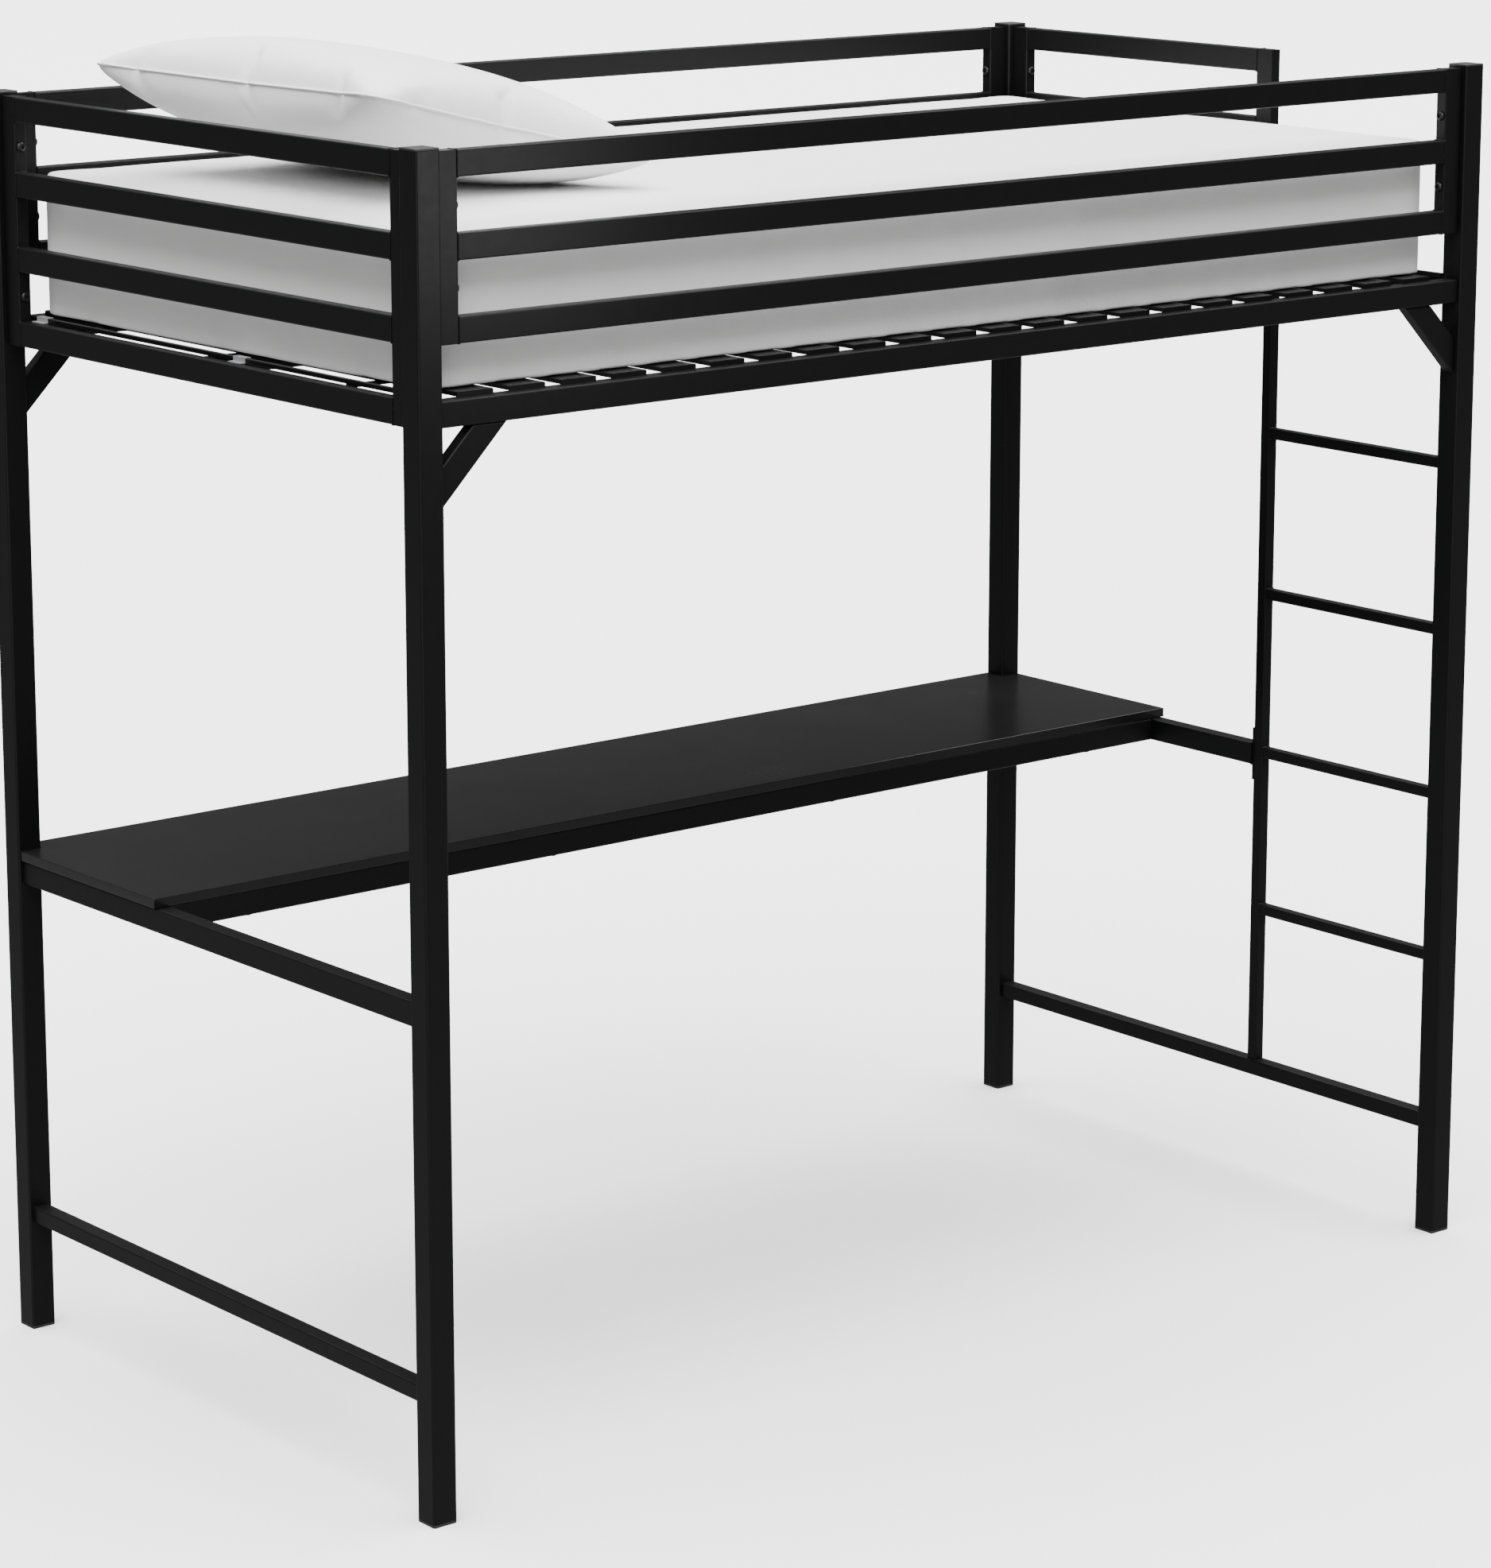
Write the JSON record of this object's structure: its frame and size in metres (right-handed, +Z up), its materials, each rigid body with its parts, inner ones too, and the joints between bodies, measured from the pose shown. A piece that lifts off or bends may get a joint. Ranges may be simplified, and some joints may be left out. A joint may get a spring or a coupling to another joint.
{
  "type": "loft bed with desk",
  "caption": "Raised single metal bed frame with guard rails, an end ladder, a full-length shelf-like desk below, and a mattress and pillow.",
  "frame": {"origin": "On the floor, under the middle of the bed.", "axes": "+X along the bed from the pillow end to the ladder end, +Y from the open front to the desk side, +Z up."},
  "size_m": [1.968, 1.051, 1.9283],
  "materials": {
    "black_steel": "satin",
    "bolt_steel": "satin",
    "black_plastic": "matte",
    "desk_laminate": "satin",
    "mattress_cloth": "matte",
    "pillow_cloth": "matte"
  },
  "bodies": {
    "frame": {"brace_back_foot": "black_steel", "brace_back_head": "black_steel", "brace_front_foot": "black_steel", "brace_front_head": "black_steel", "cap_back_foot": "black_plastic", "cap_back_head": "black_plastic", "cap_front_foot": "black_plastic", "cap_front_head": "black_plastic", "centre_beam": "black_steel", "desk_bar_foot": "black_steel", "desk_bar_head": "black_steel", "desk_board": "desk_laminate", "desk_rail_back": "black_steel", "desk_rail_front": "black_steel", "end_bolt_back_foot_1": "bolt_steel", "end_bolt_back_foot_2": "bolt_steel", "end_bolt_back_head_1": "bolt_steel", "end_bolt_back_head_2": "bolt_steel", "end_bolt_front_head_1": "bolt_steel", "end_bolt_front_head_2": "bolt_steel", "end_rail_foot": "black_steel", "foot_back_foot": "black_plastic", "foot_back_head": "black_plastic", "foot_front_foot": "black_plastic", "foot_front_head": "black_plastic", "guard_back": "black_steel", "guard_back_rail_lower": "black_steel", "guard_back_rail_middle": "black_steel", "guard_foot": "black_steel", "guard_front": "black_steel", "guard_front_rail_lower": "black_steel", "guard_front_rail_middle": "black_steel", "head_frame": "black_steel", "head_frame_rail_lower": "black_steel", "head_frame_rail_middle": "black_steel", "ladder_rung_1": "black_steel", "ladder_rung_2": "black_steel", "ladder_rung_3": "black_steel", "ladder_rung_4": "black_steel", "ladder_stile": "black_steel", "low_bar_foot": "black_steel", "low_bar_head": "black_steel", "post_back_foot": "black_steel", "post_back_head": "black_steel", "post_front_foot": "black_steel", "post_front_head": "black_steel", "side_bolt_back_foot_1": "bolt_steel", "side_bolt_back_foot_2": "bolt_steel", "side_bolt_back_head_1": "bolt_steel", "side_bolt_back_head_2": "bolt_steel", "side_bolt_front_foot_1": "bolt_steel", "side_bolt_front_foot_2": "bolt_steel", "side_bolt_front_head_1": "bolt_steel", "side_bolt_front_head_2": "bolt_steel", "side_rail_back": "black_steel", "side_rail_front": "black_steel", "slat_deck_foot": "black_steel", "slat_deck_head": "black_steel"},
    "mattress": {"mattress": "mattress_cloth"},
    "pillow": {"pillow": "pillow_cloth"}
  },
  "joints": [
    {"name": "mattress_lift", "type": "slide", "parent": "frame", "child": "mattress", "axis": [0, 0, 1], "range_m": [0, 0.35]},
    {"name": "pillow_lift", "type": "slide", "parent": "mattress", "child": "pillow", "axis": [0, 0, 1], "range_m": [0, 0.25]}
  ]
}
